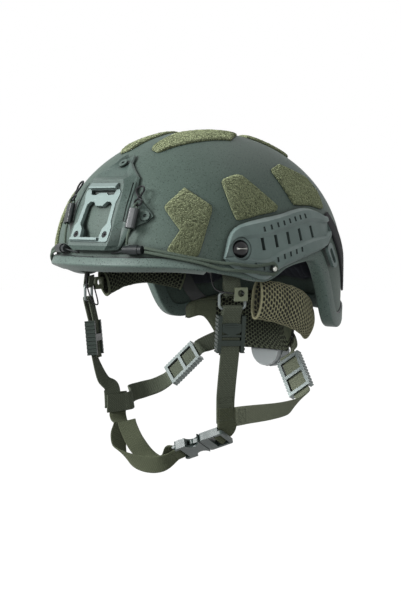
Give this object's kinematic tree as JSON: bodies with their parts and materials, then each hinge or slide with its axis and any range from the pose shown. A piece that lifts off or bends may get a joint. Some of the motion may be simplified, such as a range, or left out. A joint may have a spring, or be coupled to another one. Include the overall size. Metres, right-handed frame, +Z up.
{
  "type": "combat helmet",
  "caption": "High-cut combat helmet with front shroud, side rails, bungees, loop patches, padded liner, dial-fitted nape band and a webbing chin harness with buckles.",
  "frame": {"origin": "on the axis of the head at the height of the brim's lower edge, where the head mount is", "axes": "+Z up along the head, -Y out of the forehead, +X towards the wearer's left"},
  "size_m": [0.2606, 0.2873, 0.3186],
  "materials": {
    "shell_paint": "fine textured grey-green paint",
    "edge_rubber": "satin moulded rubber",
    "insert_metal": "machined and bead blasted, grey-green",
    "painted_steel": "shell paint over a steel screw",
    "black_steel": "black oxide",
    "loop_pile": "short loop pile",
    "rail_plastic": "satin injection moulding",
    "bright_steel": "plain",
    "shock_cord": "braided cover",
    "guide_rubber": "satin",
    "hard_black": "satin injection moulding",
    "elastic": "woven elastic",
    "pad_cloth": "brushed knit",
    "dial_plastic": "satin injection moulding",
    "mesh_dark": "spacer mesh",
    "mesh_light": "spacer mesh",
    "lace_nylon": "plain nylon",
    "clip_plastic": "satin",
    "webbing": "flat woven nylon",
    "adjuster_plastic": "satin injection moulding",
    "cam_metal": "cast and bead blasted"
  },
  "bodies": {
    "helmet": {"shell": "shell_paint", "edge_trim": "edge_rubber", "shroud_base": "shell_paint", "shroud_insert": "insert_metal", "shroud_screws": "painted_steel", "insert_screws": "black_steel", "patch_front_left": "loop_pile", "patch_front_right": "loop_pile", "patch_middle_left": "loop_pile", "patch_middle_right": "loop_pile", "patch_rear_left": "loop_pile", "patch_rear_right": "loop_pile", "patch_top_left": "loop_pile", "patch_top_right": "loop_pile", "patch_crown_left": "loop_pile", "patch_crown_right": "loop_pile", "patch_back": "loop_pile", "rail_left": "rail_plastic", "rail_right": "rail_plastic", "rail_bolts": "black_steel", "bungee_posts": "bright_steel", "bungee_left": "shock_cord", "bungee_right": "shock_cord", "bungee_guides": "guide_rubber", "lanyards": "shock_cord", "snap_hooks": "black_steel", "lanyard_locks": "hard_black", "rear_keepers": "elastic", "pad_front": "pad_cloth", "pad_side_left": "pad_cloth", "pad_side_right": "pad_cloth", "pad_rear_left": "pad_cloth", "pad_rear_right": "pad_cloth", "pad_back": "pad_cloth", "pad_crown": "pad_cloth", "nape_cradle": "dial_plastic", "nape_pad": "mesh_dark", "sleeve_left": "mesh_light", "sleeve_right": "mesh_light", "lace_left": "lace_nylon", "lace_right": "lace_nylon", "lace_clips": "clip_plastic", "anchor_tabs": "webbing", "strap_rings": "bright_steel", "front_strap_left": "webbing", "front_strap_right": "webbing", "adjusters": "adjuster_plastic", "rear_strap_left": "webbing", "rear_strap_right": "webbing", "cam_frames": "cam_metal", "chin_plug": "hard_black", "chin_tail": "webbing"},
    "dial": {"fit_dial": "dial_plastic"},
    "adjuster_lever_left": {"adjuster_lever_left": "adjuster_plastic"},
    "adjuster_lever_right": {"adjuster_lever_right": "adjuster_plastic"},
    "cam_lever_left": {"cam_lever_left": "cam_metal"},
    "cam_lever_right": {"cam_lever_right": "cam_metal"},
    "chin_half": {"chin_socket": "hard_black", "chin_strap": "webbing"}
  },
  "joints": [
    {"name": "fit_dial_turn", "type": "hinge", "parent": "helmet", "child": "dial", "pos_m": [0, 0.09395, -0.088], "axis": [0, 1, 0], "range_deg": [-360, 360]},
    {"name": "adjuster_lever_left_lift", "type": "hinge", "parent": "helmet", "child": "adjuster_lever_left", "pos_m": [0.09195, -0.05899, -0.06071], "axis": [0.5273, 0.8494, -0.022], "range_deg": [0, 60]},
    {"name": "adjuster_lever_right_lift", "type": "hinge", "parent": "helmet", "child": "adjuster_lever_right", "pos_m": [-0.0906, -0.05843, -0.07471], "axis": [0.5273, -0.8494, 0.022], "range_deg": [0, 60]},
    {"name": "cam_lever_left_lift", "type": "hinge", "parent": "helmet", "child": "cam_lever_left", "pos_m": [0.07202, 0.05561, -0.10541], "axis": [0.7672, 0.2697, 0.582], "range_deg": [0, 60]},
    {"name": "cam_lever_right_lift", "type": "hinge", "parent": "helmet", "child": "cam_lever_right", "pos_m": [-0.07202, 0.05561, -0.10541], "axis": [0.7672, -0.2697, -0.582], "range_deg": [0, 60]},
    {"name": "chin_buckle_slide", "type": "slide", "parent": "helmet", "child": "chin_half", "axis": [-0.8652, -0.3445, -0.3645], "range_m": [0, 0.022]}
  ]
}
